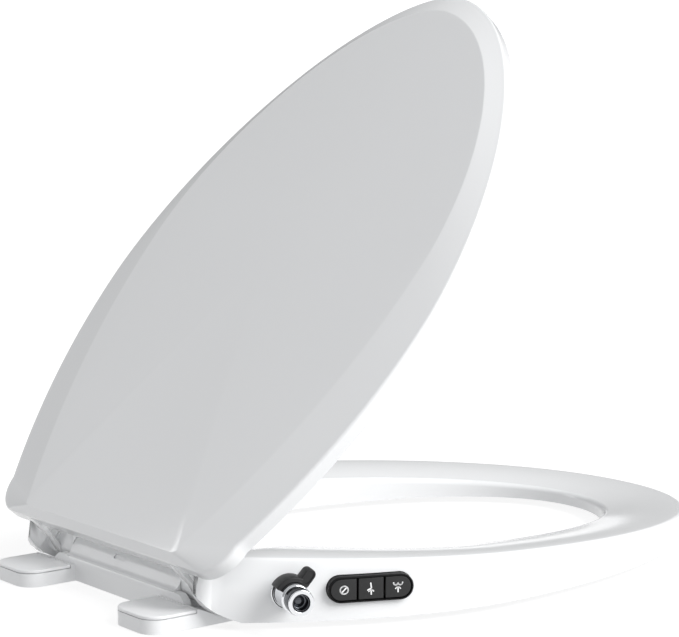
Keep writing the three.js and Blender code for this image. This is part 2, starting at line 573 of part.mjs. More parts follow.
// ---------------------------------------------------------------- materials and assembly
const plastic = (color, roughness = 0.25) =>
  new THREE.MeshStandardMaterial({ color, roughness, metalness: 0 });
const WHITE = plastic('#f4f5f6', 0.2);
const COVER_WHITE = plastic('#eceded', 0.4);
const BLACK = plastic('#17181a', 0.35);
const RUBBER = plastic('#dfe0e0', 0.7);
const GREY = plastic('#c3c6c8', 0.45);
const HOSE = plastic('#d8dcde', 0.5);
const CHROME = new THREE.MeshStandardMaterial({ color: '#c9cbce', roughness: 0.08, metalness: 1 });
const STEEL = new THREE.MeshStandardMaterial({ color: '#b4b6b8', roughness: 0.3, metalness: 1 });

const seat = new THREE.Group();
const add = (name, solid, material) => {
  const mesh = new THREE.Mesh(toGeometry(solid), material);
  mesh.name = name;
  seat.add(mesh);
};
const SIDES = [['left', 1], ['right', -1]];
const onSide = (solid, side) => (side > 0 ? solid : mirrored(solid));

add('base_housing', baseHousing(), WHITE);
for (const [word, side] of SIDES) {
  add(`foot_cap_${word}`, onSide(footCap(), side), WHITE);
  add(`soft_close_damper_${word}`, onSide(damper(), side), GREY);
  add(`hinge_pin_${word}`, onSide(hingePin(), side), STEEL);
}
add('lid_shell', lidShell(), WHITE);
LID_BUMPERS.forEach((spot, i) => add(`lid_bumper_${i + 1}`, lidBumper(spot), RUBBER));
add('seat_shell', seatShell(), WHITE);
add('seat_bottom_cover', seatCover(), COVER_WHITE);
bumperSpots.forEach((spot, i) => add(`seat_bumper_${i + 1}`, seatBumper(spot), RUBBER));
add('inlet_valve_body', valveBody(), CHROME);
add('inlet_lock_nut', valveNut(), STEEL);
add('inlet_collar', valveCollar(), CHROME);
add('inlet_nipple', valveNipple(), GREY);
add('pressure_lever', lever(), BLACK);
add('button_bezel', bezel(), BLACK);
for (const [name, place] of [['stop', -1], ['rear_wash', 0], ['front_wash', 1]]) {
  add(`button_${name}`, button(place), BLACK);
  add(`button_spring_${name}`, spring(place), STEEL);
}
add('valve_block', valveBlock(), GREY);
add('nozzle_chamber', nozzleChamber(), GREY);
add('nozzle_slider', nozzleSlider(), COVER_WHITE);
add('inlet_hose', inletHose(), HOSE);
add('rear_wash_hose', washHose(4), HOSE);
add('front_wash_hose', washHose(-4), HOSE);

export default seat;
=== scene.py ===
"""Bidet toilet seat: smooth mouldings, chrome valve, black controls and their finishes."""

import json
import math

import bmesh
import bpy
from mathutils import Matrix, Vector


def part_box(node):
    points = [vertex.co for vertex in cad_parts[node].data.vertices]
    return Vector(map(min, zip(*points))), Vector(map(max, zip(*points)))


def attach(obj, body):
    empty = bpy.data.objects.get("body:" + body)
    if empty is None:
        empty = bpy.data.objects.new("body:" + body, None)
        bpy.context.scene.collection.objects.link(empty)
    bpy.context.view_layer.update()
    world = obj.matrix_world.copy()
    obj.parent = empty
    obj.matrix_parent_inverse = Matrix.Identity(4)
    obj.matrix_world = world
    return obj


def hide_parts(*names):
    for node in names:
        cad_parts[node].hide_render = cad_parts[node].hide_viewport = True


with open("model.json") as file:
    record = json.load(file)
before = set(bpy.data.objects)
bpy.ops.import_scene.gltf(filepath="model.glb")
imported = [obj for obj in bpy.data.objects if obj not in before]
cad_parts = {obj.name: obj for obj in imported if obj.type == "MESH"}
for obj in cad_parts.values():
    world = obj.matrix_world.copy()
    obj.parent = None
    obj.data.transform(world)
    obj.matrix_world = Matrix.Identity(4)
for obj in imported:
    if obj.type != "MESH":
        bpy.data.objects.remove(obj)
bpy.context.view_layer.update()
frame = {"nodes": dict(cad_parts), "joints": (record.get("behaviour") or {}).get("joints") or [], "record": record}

MM = 0.001
JOINT = {j["name"]: j for j in frame["joints"]}
HINGE = Vector(JOINT["lid_hinge"]["pos_m"])

# ---------------------------------------------------------------- sizes in millimetres
seat_low, seat_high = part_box("seat_shell")
SEAT_BASE = seat_low.z / MM
SEAT = dict(half=seat_high.x / MM, wide=-172.5, tip=seat_low.y / MM, rear=24.5, rear_half=98.5, corner=9,
            power=2.1)
HOLE = dict(half=124, wide=-170, tip=-394, rear=-38.5, rear_half=66, corner=30, power=2.1)
SEAT_REAR_Z, SEAT_TIP_Z, SEAT_SLOPE = 45.2, 16, 1.2
SEAT_WALL, DRAFT, SHOULDER, DISH, LIP = 3, 4.2, 3.2, 6.4, 4.5
NOTCH_HALF, NOTCH_Y = 97.5, -12
LOBE_R = 27.2
HUB_R, HUB_IN, HUB_OUT = 9, 89, 100
GAP = 0.3

LID_ANGLE = math.radians(49.3)
LID_PLANE = 42.7
PANEL = dict(half=147.8, wide=234.5, tip=439.6, rear=2.3, rear_half=88, corner=6, power=1.8)
RIM = dict(half=175.6, wide=195, tip=457, rear=-3, rear_half=121, corner=24, power=1.75)
CHAMFER_DROP, SKIRT, CROWN, LID_WALL = 5.5, 8.9, 4.2, 3
ARM_IN, ARM_OUT, KNUCKLE_IN, KNUCKLE_R, PIN_R = 80, 88, 64.5, 9, 2.5

BARREL_R, BARREL_HALF = 9.5, 64
BRIDGE_REAR, BRIDGE_TOP = 15.5, 15.7
FOOT_X, FOOT_HALF, FOOT_REAR, FOOT_END_HALF, FOOT_TOP = 73.7, 22.5, 53.5, 9.5, 11.4
CAP_THICK, CAP_FRONT = 2.4, 19
SLOT_X, SLOT_Y, SLOT_LEN, SLOT_WIDTH = 70, 34, 16, 8.4
RECESS_X, RECESS_TILT = 7, math.radians(31)


# ---------------------------------------------------------------- mesh helpers
# A prism's outline and height laid to (y, z, x), and to (x, z, -y).
ALONG_X = Matrix(((0, 0, 1, 0), (1, 0, 0, 0), (0, 1, 0, 0), (0, 0, 0, 1)))
ALONG_MINUS_Y = Matrix(((1, 0, 0, 0), (0, 0, -1, 0), (0, 1, 0, 0), (0, 0, 0, 1)))


def piece(name, verts, faces, scale=MM):
    mesh = bpy.data.meshes.new(name)
    mesh.from_pydata([Vector(v) * scale for v in verts], [], faces)
    mesh.validate()
    obj = bpy.data.objects.new(name, mesh)
    bpy.context.scene.collection.objects.link(obj)
    return obj


def edit(obj, change):
    bm = bmesh.new()
    bm.from_mesh(obj.data)
    change(bm)
    bm.to_mesh(obj.data)
    bm.free()
    return obj


def tidy(obj, crease=32):
    edit(obj, lambda bm: (bmesh.ops.remove_doubles(bm, verts=bm.verts, dist=2e-6),
                          bmesh.ops.recalc_face_normals(bm, faces=bm.faces)))
    for polygon in obj.data.polygons:
        polygon.use_smooth = True
    obj.data.set_sharp_from_angle(angle=math.radians(crease))
    return obj


def combine(obj, other, operation):
    """Joins, cuts or keeps the overlap of two closed pieces; the second is used up."""
    step = obj.modifiers.new("combine", "BOOLEAN")
    step.object, step.operation, step.solver = other, operation, "EXACT"
    mesh = bpy.data.meshes.new_from_object(obj.evaluated_get(bpy.context.evaluated_depsgraph_get()))
    obj.modifiers.remove(step)
    old, obj.data = obj.data, mesh
    bpy.data.meshes.remove(old)
    bpy.data.objects.remove(other)
    return obj


def cut(obj, other):
    return combine(obj, other, "DIFFERENCE")


def join(obj, other):
    return combine(obj, other, "UNION")


def both_sides(obj, other, action):
    """Uses a piece and its mirror image in X."""
    twin = other.copy()
    twin.data = other.data.copy()
    bpy.context.scene.collection.objects.link(twin)
    twin.data.transform(Matrix.Scale(-1, 4, (1, 0, 0)))
    twin.data.flip_normals()
    return action(action(obj, other), twin)


def prism(name, outline, low, high, place=None, round_off=0, steps=3):
    """A prism between two heights; place takes its (u, v, height) to the object's axes."""
    n = len(outline)
    verts = [(u, v, low) for u, v in outline] + [(u, v, high) for u, v in outline]
    faces = [tuple(reversed(range(n))), tuple(range(n, 2 * n))]
    faces += [(i, (i + 1) % n, n + (i + 1) % n, n + i) for i in range(n)]
    obj = piece(name, verts, faces)
    if round_off:
        soften(obj, round_off, steps)
    if place:
        obj.data.transform(place)
    return tidy(obj)


def soften(obj, width, steps=3, above=40):
    def round_edges(bm):
        bmesh.ops.recalc_face_normals(bm, faces=bm.faces)
        sharp = [e for e in bm.edges if len(e.link_faces) == 2 and e.calc_face_angle() > math.radians(above)]
        bmesh.ops.bevel(bm, geom=sharp, offset=width * MM, segments=steps, profile=0.5, affect="EDGES",
                        clamp_overlap=True)
    return edit(obj, round_edges)


def turned(name, profile, place=None, around=64):
    """A turned piece from (radius, height) points that start and end on the axis or close on themselves."""
    verts, faces, rows = [], [], []
    for r, z in profile:
        if abs(r) < 1e-6:
            rows.append([len(verts)] * around)
            verts.append((0, 0, z))
        else:
            rows.append(list(range(len(verts), len(verts) + around)))
            verts += [(r * math.cos(2 * math.pi * k / around), r * math.sin(2 * math.pi * k / around), z)
                      for k in range(around)]
    closed = profile[0][0] > 1e-6
    for a, b in zip(rows, rows[1:] + rows[:1] if closed else rows[1:]):
        for k in range(around):
            face = [a[k], a[(k + 1) % around], b[(k + 1) % around], b[k]]
            face = list(dict.fromkeys(face))
            if len(face) > 2:
                faces.append(tuple(face))
    obj = piece(name, verts, faces)
    if place:
        obj.data.transform(place)
    return tidy(obj)


def rounded_profile(points, radius, steps=4):
    """Rounds the corners of an open (radius, height) profile, leaving its two ends."""
    out = [points[0]]
    for before, here, after in zip(points, points[1:], points[2:]):
        p, a, b = Vector(here), Vector(before), Vector(after)
        reach = min(radius, (a - p).length * 0.45, (b - p).length * 0.45)
        start, end = p + (a - p).normalized() * reach, p + (b - p).normalized() * reach
        for k in range(steps + 1):
            t = k / steps
            out.append(tuple((1 - t) ** 2 * start + 2 * t * (1 - t) * p + t * t * end))
    return out + [points[-1]]


def skin(name, rings, closed=False):
    """A skin over rings with equal numbers of points, capped by a fan at each end or closed on itself."""
    n = len(rings[0])
    verts = [p for ring in rings for p in ring]
    faces = []
    pairs = list(range(len(rings)))
    for k in pairs if closed else pairs[:-1]:
        a, b = k * n, ((k + 1) % len(rings)) * n
        faces += [(a + i, a + (i + 1) % n, b + (i + 1) % n, b + i) for i in range(n)]
    if not closed:
        for ring, base in ((rings[0], 0), (rings[-1], (len(rings) - 1) * n)):
            centre = sum((Vector(p) for p in ring), Vector()) / n
            verts.append(tuple(centre))
            hub = len(verts) - 1
            faces += [(base + i, base + (i + 1) % n, hub) for i in range(n)]
    return tidy(piece(name, verts, faces))


def disc(r, u=0, v=0, n=48):
    return [(u + r * math.cos(2 * math.pi * i / n), v + r * math.sin(2 * math.pi * i / n)) for i in range(n)]


def pill(length, height, n=20):
    r = height / 2
    points = []
    for side, start in ((1, -90), (-1, 90)):
        for i in range(n + 1):
            a = math.radians(start + 180 * i / n)
            points.append((side * (length / 2 - r) + r * math.cos(a), r * math.sin(a)))
    return points


def rod_x(name, r, x0, x1, y=0, z=None, round_off=0):
    z = HINGE.z / MM if z is None else z
    return prism(name, disc(r, y, z), x0, x1, ALONG_X, round_off)


def along_x(name, outline, x0, x1, round_off=0, steps=3):
    return prism(name, outline, x0, x1, ALONG_X, round_off, steps)


def block(name, x0, x1, y0, y1, z0, z1, round_off=0):
    return prism(name, [(x0, y0), (x1, y0), (x1, y1), (x0, y1)], z0, z1, None, round_off)


def outline(half, wide, tip, rear, rear_half, corner, power, grow=0):
    """Half plan of a seat or lid from the middle of its rear to its tip, then mirrored to a full loop."""
    way = math.copysign(1, tip - rear)
    half, rear_half, corner = half + grow, rear_half + grow, max(corner + grow, 1)
    tip, rear = tip + way * grow, rear - way * grow
    side = rear + way * corner

    def swell(y):
        return rear_half + (half - rear_half) * (1 - ((y - wide) / (rear - wide)) ** 2)

    reach = swell(side)
    points = [((reach - corner) * i / 10, rear) for i in range(10)]
    for i in range(14):
        a = i / 14 * math.pi / 2
        points.append((reach - corner + corner * math.sin(a), side - way * corner * math.cos(a)))
    points += [(swell(side + (wide - side) * i / 34), side + (wide - side) * i / 34) for i in range(34)]
    for i in range(57):
        u = math.sin(i / 56 * math.pi / 2)
        points.append((half * max(1 - u ** power, 0) ** (1 / power), wide + (tip - wide) * u))
    return points + [(-x, y) for x, y in reversed(points[1:-1])]


# ---------------------------------------------------------------- seat ring
def seat_top(y):
    along = min(max((SEAT["rear"] - y) / (SEAT["rear"] - SEAT["tip"]), 0), 1)
    return SEAT_REAR_Z - (SEAT_REAR_Z - SEAT_TIP_Z) * along ** SEAT_SLOPE


def ring_section(width, top, low, wall):
    """Points over the top from the outer foot to the inner: distance in from the outer edge, and height."""
    tall = top - low
    draft, dish = DRAFT * tall / 40, DISH * tall / 40
    rise = min(SHOULDER, tall * 0.3)
    points = [(wall, low), (wall + draft * 0.35, low + tall * 0.45), (wall + draft - 0.4, top - rise - wall)]
    for k in range(1, 9):
        a = k / 8 * math.pi / 2
        points.append((wall + draft + SHOULDER * (1 - math.cos(a)), top - rise + rise * math.sin(a) - wall))
    start, end = points[-1][0], width - wall - LIP
    for k in range(1, 15):
        t = k / 14
        sag = dish * t ** 1.7 - 0.5 * math.sin(math.pi * t)
        points.append((start + (end - start) * t, top - wall - sag))
    roll = min(LIP, tall * 0.3)
    for k in range(1, 9):
        a = k / 8 * math.pi / 2
        points.append((end + LIP * math.sin(a), top - wall - dish - roll * (1 - math.cos(a))))
    points.append((width - wall, low + tall * 0.35))
    points.append((width - wall, low))
    return points


def seat_skin(name, wall, low):
    outer, inner = outline(**SEAT), outline(**HOLE)
    rows = []
    for (xo, yo), (xi, yi) in zip(outer, inner):
        width = math.hypot(xi - xo, yi - yo)
        across = ((xi - xo) / width, (yi - yo) / width)
        section = ring_section(width, seat_top(yo), low, wall)
        rows.append([(xo + across[0] * d, yo + across[1] * d, z) for d, z in section])
    return skin(name, [list(ring) for ring in zip(*rows)], closed=True)


SWEEP = [(-1, -50), (0.5, SEAT_BASE - 0.01), (6, 6.8), (12, 10.2), (18, 15), (22, 20), (25, 28), (60, 40),
         (60, -50)]


def lobe_limits():
    """What is cut away at the rear: the room for the base, the swept underside and the corners' reach."""
    notch = block("notch", -NOTCH_HALF, NOTCH_HALF, NOTCH_Y, 200, -50, 200)
    sweep = along_x("sweep", SWEEP, -200, 200)
    reach = cut(block("reach", -200, 200, 0.2, 200, -100, 200), rod_x("turn", LOBE_R, -220, 220))
    return notch, sweep, reach


def make_seat():
    ring = seat_skin("seat_ring", 0, SEAT_BASE)
    inside = seat_skin("inside", SEAT_WALL, -20)
    walls = block("walls", -NOTCH_HALF - SEAT_WALL, NOTCH_HALF + SEAT_WALL, NOTCH_Y - SEAT_WALL, 200, 0, 200)
    solid = ring.copy()
    solid.data = ring.data.copy()
    bpy.context.scene.collection.objects.link(solid)
    ring = join(cut(ring, inside), combine(solid, walls, "INTERSECT"))
    for cutter in lobe_limits():
        ring = cut(ring, cutter)
    ring = both_sides(ring, rod_x("hub", HUB_R, HUB_IN, HUB_OUT, round_off=0.6), join)
    ring = both_sides(ring, rod_x("pin_hole", PIN_R + GAP, HUB_IN - 1, NOTCH_HALF + 6), cut)
    ring = cut(ring, prism("panel_hole", pill(PANEL_LEN + 0.7, PANEL_H + 0.7), -12, 10, CONTROLS))
    ring = cut(ring, prism("valve_hole", disc(6.8), -30, 10, VALVE))
    ring = both_sides(ring, prism("nozzle_hole", disc(4, 5.5, 16), 34, 46, ALONG_MINUS_Y), cut)
    tidy(ring, 34)
    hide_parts("seat_shell")
    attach(ring, "seat")
    return ring


def wall_place(at, outward):
    """Place on the seat's side wall: u forward along it, v up, height outward."""
    out, up = Vector(outward).normalized(), Vector((0, 0, 1))
    forward = up.cross(out)
    place = Matrix((forward, up, out)).transposed().to_4x4()
    place.translation = at
    return place


VALVE = wall_place(JOINT["lever_turn"]["pos_m"], JOINT["lever_turn"]["axis"])
PRESS = JOINT["button_stop_press"]["axis"]
bezel_low, bezel_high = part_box("button_bezel")
BEZEL_PROUD, BEZEL_DEPTH = 2.9, 9
PANEL_H = (bezel_high.z - bezel_low.z) / MM
PANEL_LEN = 54.6
panel_middle = (bezel_low + bezel_high) / 2 + Vector(PRESS) * (BEZEL_PROUD - BEZEL_DEPTH / 2) * MM
CONTROLS = wall_place(panel_middle, [-c for c in PRESS])


# ---------------------------------------------------------------- lid
def lid_place():
    out = Matrix(((-1, 0, 0, 0), (0, -math.cos(LID_ANGLE), math.sin(LID_ANGLE), 0),
                  (0, math.sin(LID_ANGLE), math.cos(LID_ANGLE), 0), (0, 0, 0, 1)))
    out.translation = HINGE
    return out


LID = lid_place()


def lid_skin(name, wall, low):
    rim, panel = outline(**RIM, grow=-wall), outline(**PANEL, grow=-wall)
    foot, edge, plane = low, LID_PLANE - CHAMFER_DROP - wall, LID_PLANE - wall
    rings = [[(x, y, foot) for x, y in rim]]
    rings += [[(x, y, foot + (edge - 2 - foot) * k / 3) for x, y in rim] for k in (1, 2, 3)]

    def between(share, z):
        return [(a + (c - a) * share, b + (d - b) * share, z) for (a, b), (c, d) in zip(rim, panel)]

    for k in range(1, 6):
        a = k / 5 * math.pi / 2
        rings.append(between(0.085 * (1 - math.cos(a)), edge - 2 + 2.35 * math.sin(a)))
    for k in range(1, 9):
        share = 0.085 + (0.975 - 0.085) * k / 8
        rings.append(between(share, edge + 0.35 + (plane - 0.15 - edge - 0.35) * (share - 0.085) / 0.89))
    rings.append(between(1, plane - 0.02))
    centre = (PANEL["rear"] + PANEL["tip"]) / 2
    for s in [0.996, 0.985] + [1 - (k / 24) ** 0.9 * 0.985 for k in range(1, 25)]:
        rings.append([(x * s, centre + (y - centre) * s, plane + CROWN * (1 - s * s)) for x, y in panel])
    return skin(name, rings)


ARM_OUTLINE = [(3.5, 11.5), (9, 14), (15, 23.8), (22.5, 31), (28.5, 38), (21.5, 40), (18.5, 31.5)]
WEB_OUTLINE = [(18.5, 31.5), (21.5, 27.5), (31, 35), (31, 46), (26, 46)]
FIN_OUTLINE = [(6, 20), (9, 18), (8.6, 34), (10.5, 39), (9.5, 39), (6, 34)]


def make_lid():
    lid = lid_skin("lid", 0, LID_PLANE - CHAMFER_DROP - SKIRT)
    lid = cut(lid, lid_skin("hollow", LID_WALL, -5))
    lid.data.transform(LID)
    web = along_x("web", WEB_OUTLINE, ARM_IN, ARM_OUT)
    room = lid_skin("room", 1.2, -5)
    room.data.transform(LID)
    web = combine(web, room, "INTERSECT")
    arm = along_x("arm", ARM_OUTLINE, ARM_IN, ARM_OUT, round_off=0.8)
    arm = join(arm, rod_x("knuckle", KNUCKLE_R, KNUCKLE_IN, ARM_OUT, round_off=0.7))
    arm = join(arm, web)
    arm = join(arm, along_x("fin", FIN_OUTLINE, KNUCKLE_IN, ARM_IN + 1, round_off=0.5))
    lid = both_sides(lid, arm, join)
    lid = both_sides(lid, rod_x("pin_hole", PIN_R + GAP, KNUCKLE_IN - 1, ARM_OUT + 1), cut)
    tidy(lid, 34)
    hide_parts("lid_shell")
    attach(lid, "lid")
    return lid


# ---------------------------------------------------------------- base and feet
def foot_plan(inset, front):
    half, rear = FOOT_HALF - inset, FOOT_REAR - inset
    r = FOOT_HALF - FOOT_END_HALF - inset * 0.6
    points = [(-half, front), (half, front)]
    for side, start in ((1, 0), (-1, 90)):
        for i in range(15):
            a = math.radians(start + 90 * i / 14)
            points.append((side * (half - r) + r * math.cos(a), rear - r + r * math.sin(a)))
    return [(x + FOOT_X, y) for x, y in points]


def bridge_section():
    z = HINGE.z / MM
    rear, top = BRIDGE_REAR, BRIDGE_TOP
    points = [(-BARREL_R, 0.4), (-BARREL_R + 0.4, 0), (rear - 0.4, 0), (rear, 0.4),
              (rear, top - 1.4), (rear - 0.5, top - 0.4), (rear - 1.5, top)]
    for k in range(1, 8):
        a = math.radians(-90 - 62 * k / 8)
        points.append((14 + 4.6 * math.cos(a) * 0.85, top + 4.9 + 4.6 * math.sin(a)))
    for k in range(33):
        a = math.radians(24 + 156 * k / 32)
        points.append((BARREL_R * math.cos(a), z + BARREL_R * math.sin(a)))
    return points


def make_base():
    base = along_x("base", bridge_section(), -BARREL_HALF, BARREL_HALF)
    seat_z, step_y = FOOT_TOP - CAP_THICK, CAP_FRONT - 0.3
    profile = [(-8, 0), (60, 0), (60, seat_z), (CAP_FRONT, seat_z), (step_y, seat_z), (step_y, FOOT_TOP),
               (17, FOOT_TOP), (-2, 3.2), (-8, 3.2)]
    slope = along_x("slope", profile, 20, 120)
    foot = combine(prism("foot", foot_plan(0, -8), 0, FOOT_TOP), slope, "INTERSECT")
    slot = [(SLOT_X + v, SLOT_Y + u) for u, v in reversed(pill(SLOT_LEN, SLOT_WIDTH))]
    foot = cut(foot, prism("slot", slot, -5, 20))
    base = both_sides(base, foot, join)
    profile = [(60, 0), (77.5, 0), (77.5, 10.6), (76.6, 12), (72.6, 15.1), (71, BRIDGE_TOP),
               (60, BRIDGE_TOP)]
    shoulder = prism("shoulder", profile, -BRIDGE_REAR, -10.2, ALONG_MINUS_Y)
    base = both_sides(base, shoulder, join)
    base = both_sides(base, rod_x("bore", 6.3, BARREL_HALF - 46.3, BARREL_HALF + 2), cut)
    recess = prism("recess", pill(15, 3.2), 8.4, 14, RECESS)
    base = cut(base, recess)
    edit(base, lambda bm: bmesh.ops.remove_doubles(bm, verts=bm.verts, dist=1e-5))
    tidy(base, 30)
    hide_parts("base_housing")
    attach(base, "base")
    return base


def recess_place():
    """On the upper rear of the barrel: u along X, height out from the hinge line."""
    out = Vector((0, math.cos(RECESS_TILT), math.sin(RECESS_TILT)))
    along = Vector((1, 0, 0))
    place = Matrix((along, out.cross(along), out)).transposed().to_4x4()
    place.translation = HINGE + Vector((RECESS_X * MM, 0, 0))
    return place


RECESS = recess_place()


def make_foot_cap(word, side):
    low = FOOT_TOP - CAP_THICK + 0.3
    cap = prism(f"cap_{word}", foot_plan(0, CAP_FRONT), low, FOOT_TOP, round_off=0.55)
    if side < 0:
        cap.data.transform(Matrix.Scale(-1, 4, (1, 0, 0)))
        cap.data.flip_normals()
    tidy(cap)
    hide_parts(f"foot_cap_{word}")
    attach(cap, "base")
    return cap


# ---------------------------------------------------------------- valve, lever and buttons
def make_valve():
    body = turned("valve", rounded_profile(
        [(0, -17), (6.5, -17), (6.5, 2.2), (10.4, 2.2), (10.4, 3.3), (9.2, 3.4), (9.2, 20.9), (8.4, 22),
         (3, 22), (3, 12), (0, 12)], 0.5), VALVE)
    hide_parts("inlet_valve_body")
    collar = turned("collar", rounded_profile(
        [(5.3, 22.3), (7.2, 22.3), (8.3, 22.9), (8.3, 30.2), (7.9, 30.5), (7.9, 30.8), (8.1, 31),
         (8.1, 31.6), (7.8, 32), (5.7, 32), (5.3, 31.2), (5.3, 22.3)], 0.2)[:-1], VALVE)
    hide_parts("inlet_collar")
    nipple = turned("nipple", rounded_profile(
        [(0, 22.5), (5, 22.5), (5, 31.4), (4.6, 31.4), (4.4, 26.5), (3.6, 26.2), (2.6, 27.0), (1.2, 27.4),
         (0, 27.5)], 0.3), VALVE)
    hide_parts("inlet_nipple")
    for obj in (body, collar, nipple):
        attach(obj, "seat")
    return body, collar, nipple


def arc_band(inner, outer, start, end, n=28):
    points = []
    for radius, order in ((outer, range(n + 1)), (inner, range(n, -1, -1))):
        for k in order:
            a = math.radians(start + (end - start) * k / n)
            points.append((radius * math.cos(a), radius * math.sin(a)))
    return points


LEVER_TURN = math.radians(51)


def make_lever():
    """A ring round the valve, a saddle over its top and a thumb piece with a sunk face."""
    def swung(points):
        c, s = math.cos(LEVER_TURN), math.sin(LEVER_TURN)
        return [(u * c - v * s, u * s + v * c) for u, v in points]

    lever = prism("lever", arc_band(8, 12.3, 38, 152), 4.7, 17.2, None, 0.6)
    thumb = swung([(u + 13.6, v) for u, v in pill(13.2, 7)])
    lever = join(lever, prism("thumb", thumb, 7.7, 16.7, None, 0.6))
    lever = join(lever, prism("hoop", disc(10.1, n=96), 3.9, 5.1, None, 0.2))
    lever = cut(lever, prism("bore", disc(9.5, n=96), 0, 30))
    lever = cut(lever, prism("sunk", swung([(u + 14.8, v) for u, v in pill(9, 4.6)]), 16.1, 22))
    lever.data.transform(VALVE)
    tidy(lever)
    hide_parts("pressure_lever")
    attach(lever, "lever")
    return lever


RIM_T, SLACK = 1.1, 0.4
BUTTON_GAP, BUTTON_SINK = 1.2, 0.3
BUTTON_LEN = PANEL_LEN - 2 * RIM_T - 2 * SLACK
BUTTON_H = PANEL_H - 2 * RIM_T - 2 * SLACK


def make_bezel():
    shell = prism("bezel", pill(PANEL_LEN, PANEL_H), BEZEL_PROUD - BEZEL_DEPTH, BEZEL_PROUD, None, 0.45, 4)
    shell = cut(shell, prism("inner", pill(PANEL_LEN - 2 * RIM_T, PANEL_H - 2 * RIM_T), -30, 30))
    shell.data.transform(CONTROLS)
    tidy(shell)
    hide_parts("button_bezel")
    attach(shell, "seat")
    return shell


def button_plan(place):
    """The lane of one button: the middle one square, the outer ones with a round end."""
    reach, half = (BUTTON_LEN / 3 - BUTTON_GAP) / 2, BUTTON_H / 2
    if place == 0:
        return [(-reach, -half), (reach, -half), (reach, half), (-reach, half)]
    near = BUTTON_LEN / 3 - reach
    end = [(u, v) for u, v in pill(BUTTON_LEN, BUTTON_H, 28) if u > 0]
    points = [(near, -half)] + end + [(near, half)]
    return points if place > 0 else [(-u, v) for u, v in reversed(points)]


def make_button(name, place):
    low, high = BEZEL_PROUD - 4.4, BEZEL_PROUD - BUTTON_SINK
    button = prism(f"button_{name}_cap", button_plan(place), low, high, None, 0.5, 4)
    stem = prism("stem", disc(1.8, place * BUTTON_LEN / 3 * 0.94), -17, BEZEL_PROUD - 4)
    button = join(button, stem)
    button.data.transform(CONTROLS)
    tidy(button)
    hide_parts(f"button_{name}")
    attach(button, f"button_{name}")
    return button


def stroke(points, width):
    """A line of even width drawn as short bars with round ends."""
    bars = []
    for (u0, v0), (u1, v1) in zip(points, points[1:]):
        a = math.atan2(v1 - v0, u1 - u0)
        length = math.hypot(u1 - u0, v1 - v0)
        c, s = math.cos(a), math.sin(a)
        mid_u, mid_v = (u0 + u1) / 2, (v0 + v1) / 2
        bars.append([(mid_u + u * c - v * s, mid_v + u * s + v * c)
                     for u, v in pill(length + width, width, 5)])
    return bars


def arc_line(u, v, r, start, end, n=8):
    return [(u + r * math.cos(math.radians(start + (end - start) * k / n)),
             v + r * math.sin(math.radians(start + (end - start) * k / n))) for k in range(n + 1)]


SIGNS = {
    "stop": [[(-1.7, -1.7), (1.7, 1.7)], arc_line(0, 0, 2.5, 0, 360, 20)],
    "rear_wash": [[(-0.3, 3.4), (0.1, 0.2)], [(0.1, 0.2), (-2.2, -0.9)], arc_line(0, -2.6, 1.7, 30, 150, 6),
                  [(0, -3.6), (0, -1.2)]],
    "front_wash": [arc_line(-1.45, 2.6, 1.45, 180, 350), arc_line(1.45, 2.6, 1.45, 190, 360),
                   [(0, -3.2), (0, -0.6)], arc_line(0, -2.0, 1.8, 30, 150, 6)],
}


def make_sign(name, place):
    """The strokes of one generic sign, laid just above the button's face."""
    low, high = BEZEL_PROUD - BUTTON_SINK - 0.1, BEZEL_PROUD - BUTTON_SINK + 0.04
    sign = bmesh.new()
    for bar in [bar for line in SIGNS[name] for bar in stroke(line, 0.85)]:
        part = prism("bar", [(u + place * BUTTON_LEN / 3, v) for u, v in bar], low, high)
        sign.from_mesh(part.data)
        bpy.data.objects.remove(part)
    obj = piece(f"sign_{name}", [], [])
    sign.to_mesh(obj.data)
    sign.free()
    obj.data.transform(CONTROLS)
    tidy(obj)
    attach(obj, f"button_{name}")
    return obj


# ---------------------------------------------------------------- small mouldings
def seat_bumpers():
    for i in range(1, 5):
        low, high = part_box(f"seat_bumper_{i}")
        place = Matrix.Translation(((low.x + high.x) / 2, (low.y + high.y) / 2, 0))
        pad = turned(f"seat_pad_{i}", rounded_profile(
            [(0, 0), (7.2, 0), (8, 4.2), (3, 4.2), (3, 8), (0, 8)], 0.9), place, 40)
        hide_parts(f"seat_bumper_{i}")
        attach(pad, "seat")
        yield pad


def corners(node):
    obj = frame["nodes"][node]
    return [obj.matrix_world @ v.co for v in obj.data.vertices]


def lid_bumpers():
    """Soft domed buffers on pins under the lid."""
    for i in range(1, 5):
        low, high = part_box(f"lid_bumper_{i}")
        middle = LID.inverted() @ ((low + high) / 2)
        reach = [(LID.inverted() @ Vector(v)).z / MM for v in corners(f"lid_bumper_{i}")]
        place = LID @ Matrix.Translation((middle.x, middle.y, 0))
        bottom, top = min(reach), max(reach)
        pad = turned(f"lid_pad_{i}", rounded_profile(
            [(0, bottom), (4.2, bottom), (6, bottom + 2.2), (6, top - 5), (4.2, top - 4.4), (4.2, top),
             (0, top)], 1.2), place, 40)
        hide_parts(f"lid_bumper_{i}")
        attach(pad, "lid")
        yield pad


